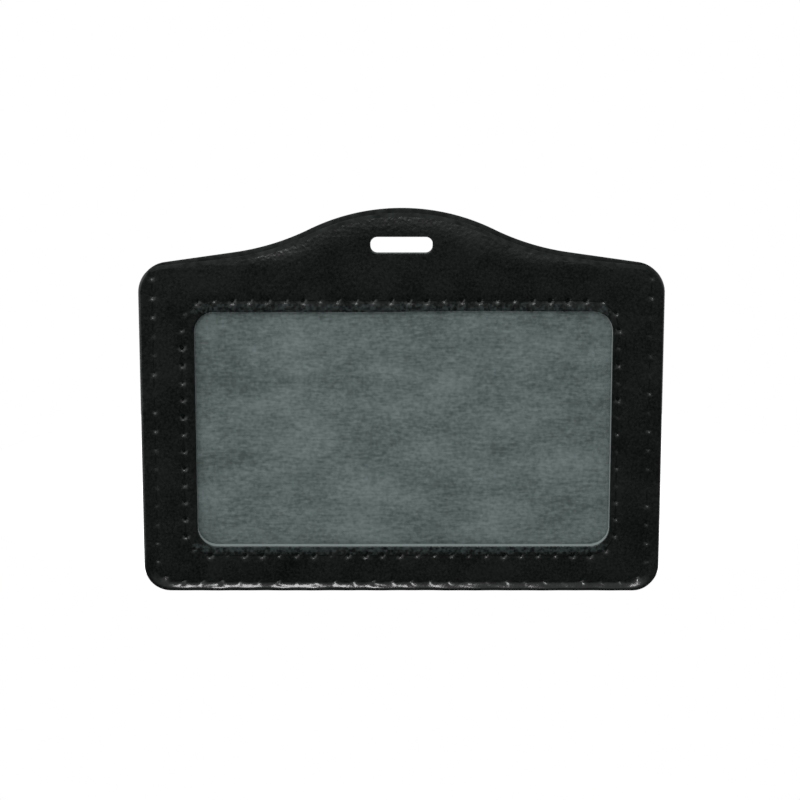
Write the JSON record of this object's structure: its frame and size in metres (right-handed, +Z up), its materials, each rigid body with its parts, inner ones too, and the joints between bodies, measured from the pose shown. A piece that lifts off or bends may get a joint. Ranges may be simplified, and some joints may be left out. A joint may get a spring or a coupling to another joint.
{
  "type": "badge holder",
  "caption": "Flat sewn leathercloth badge pocket with a clear film window, a mouth along its humped top edge that flexes open, and a lanyard slot.",
  "frame": {"origin": "middle of the lanyard slot, half way through the holder", "axes": "+X to the right seen from the front, -Y out of the front (the window side), +Z up as the holder hangs"},
  "size_m": [0.105, 0.0036, 0.078],
  "materials": {
    "leathercloth": "black coated leathercloth with a fine grain and a low sheen, on a grey brushed knit backing",
    "window_film": "clear soft PVC film, glossy and slightly wavy",
    "thread": "black twisted polyester sewing thread"
  },
  "bodies": {
    "holder": {"front_panel": "leathercloth", "back_panel": "leathercloth", "front_hem": "leathercloth", "back_hem": "leathercloth", "window_film": "window_film", "window_needle_thread": "thread", "window_bobbin_thread": "thread", "edge_needle_thread": "thread", "edge_bobbin_thread": "thread"},
    "lip": {"front_lip": "leathercloth"}
  },
  "joints": [
    {"name": "mouth_flex", "type": "hinge", "parent": "holder", "child": "lip", "pos_m": [0, -0.00112, -0.00521], "axis": [1, 0, 0], "range_deg": [0, 45], "stiffness_Nm_per_rad": 0.0008}
  ]
}
